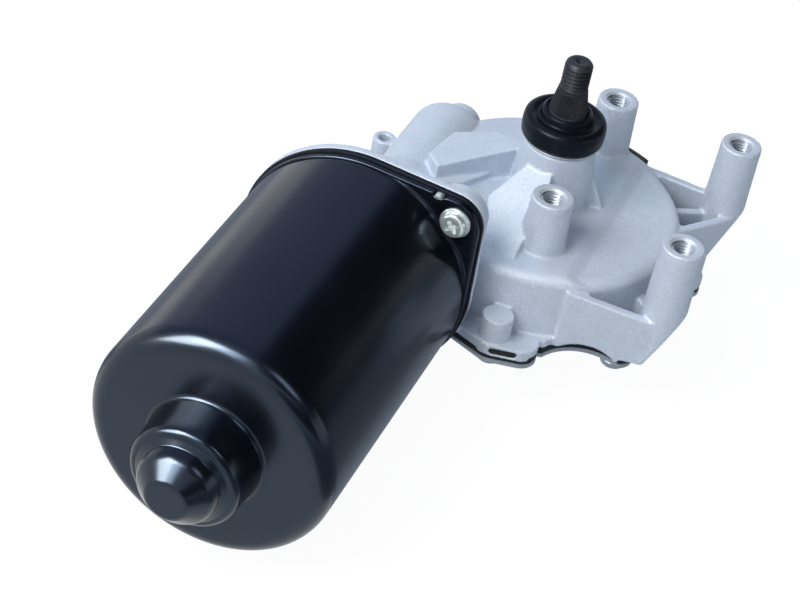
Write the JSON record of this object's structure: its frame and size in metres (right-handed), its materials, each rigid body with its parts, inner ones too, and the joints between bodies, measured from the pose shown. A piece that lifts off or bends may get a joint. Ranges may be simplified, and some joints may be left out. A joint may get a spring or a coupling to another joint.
{
  "type": "wiper motor",
  "caption": "Electric motor with a worm gearbox in a ribbed cast case; a threaded output shaft turns a wiper crank above tapped mounting posts.",
  "frame": {"origin": "on the output shaft axis, at the foot of its thread", "axes": "+Z along the output shaft, out of the case; +Y along the motor, from the barrel towards the worm end; +X from the worm side towards the outer mounting posts"},
  "size_m": [0.1552, 0.2662, 0.1115],
  "materials": {
    "cast_aluminium": "blasted casting, fine matte grain",
    "black_gasket": "matte",
    "zinc_plate": "zinc plated, satin",
    "zinc_screw": "zinc plated",
    "bright_screw": "bright zinc plated",
    "black_paint": "satin-gloss black paint",
    "ferrite": "hard ferrite, matte",
    "spring_steel": "oiled spring steel",
    "sintered_bronze": "sintered, matte",
    "carrier_steel": "pressed sheet",
    "grey_nylon": "matte",
    "black_card": "matte",
    "brass_box": "pressed, satin",
    "carbon": "pressed carbon",
    "copper_wire": "enamelled copper",
    "copper_bar": "turned copper",
    "ground_steel": "ground",
    "lamination_steel": "stacked sheet",
    "brown_resin": "moulded",
    "bearing_steel": "polished",
    "white_acetal": "moulded, greased",
    "hub_steel": "turned",
    "black_phosphate": "black phosphate, oiled",
    "bright_washer": "bright",
    "black_cap": "fine matte",
    "black_plug": "matte",
    "tin_pin": "tin plated"
  },
  "bodies": {
    "housing": {"gear_case": "cast_aluminium", "cover_gasket": "black_gasket", "gear_cover": "zinc_plate", "cover_screws": "zinc_screw", "motor_yoke": "black_paint", "yoke_screws": "bright_screw", "field_magnets": "ferrite", "magnet_clips": "spring_steel", "rear_bush": "sintered_bronze", "rear_bush_carrier": "carrier_steel", "thrust_pad": "grey_nylon", "brush_card": "black_card", "brush_boxes": "brass_box", "carbon_brushes": "carbon", "brush_springs": "spring_steel", "chokes": "copper_wire", "bearing_outer": "bearing_steel", "bearing_clip": "spring_steel", "worm_end_bush": "sintered_bronze", "endplay_screw": "zinc_screw", "upper_bush": "sintered_bronze", "lower_bush": "sintered_bronze", "contact_plate": "black_card", "contact_fingers": "brass_box", "plug_housing": "black_plug", "plug_pins": "tin_pin", "plug_screws": "zinc_screw"},
    "armature": {"armature_shaft": "ground_steel", "armature_core": "lamination_steel", "armature_windings": "copper_wire", "commutator_hub": "brown_resin", "commutator_bars": "copper_bar", "bearing_inner": "bearing_steel", "bearing_balls": "bearing_steel", "thrust_ball": "bearing_steel"},
    "output": {"output_shaft": "black_phosphate", "worm_wheel": "white_acetal", "wheel_hub": "hub_steel", "park_disc": "brass_box", "thrust_washer": "hub_steel", "tower_washer": "bright_washer", "shaft_circlip": "spring_steel", "dust_cap": "black_cap"}
  },
  "joints": [
    {"name": "armature_spin", "type": "hinge", "parent": "housing", "child": "armature", "pos_m": [-0.0475, 0, -0.057], "axis": [0, 1, 0], "continuous": true},
    {"name": "output_spin", "type": "hinge", "parent": "housing", "child": "output", "pos_m": [0, 0, 0], "axis": [0, 0, 1], "continuous": true}
  ],
  "couplings": [
    {"joint": "output_spin", "follows": "armature_spin", "ratio": 0.019231}
  ]
}
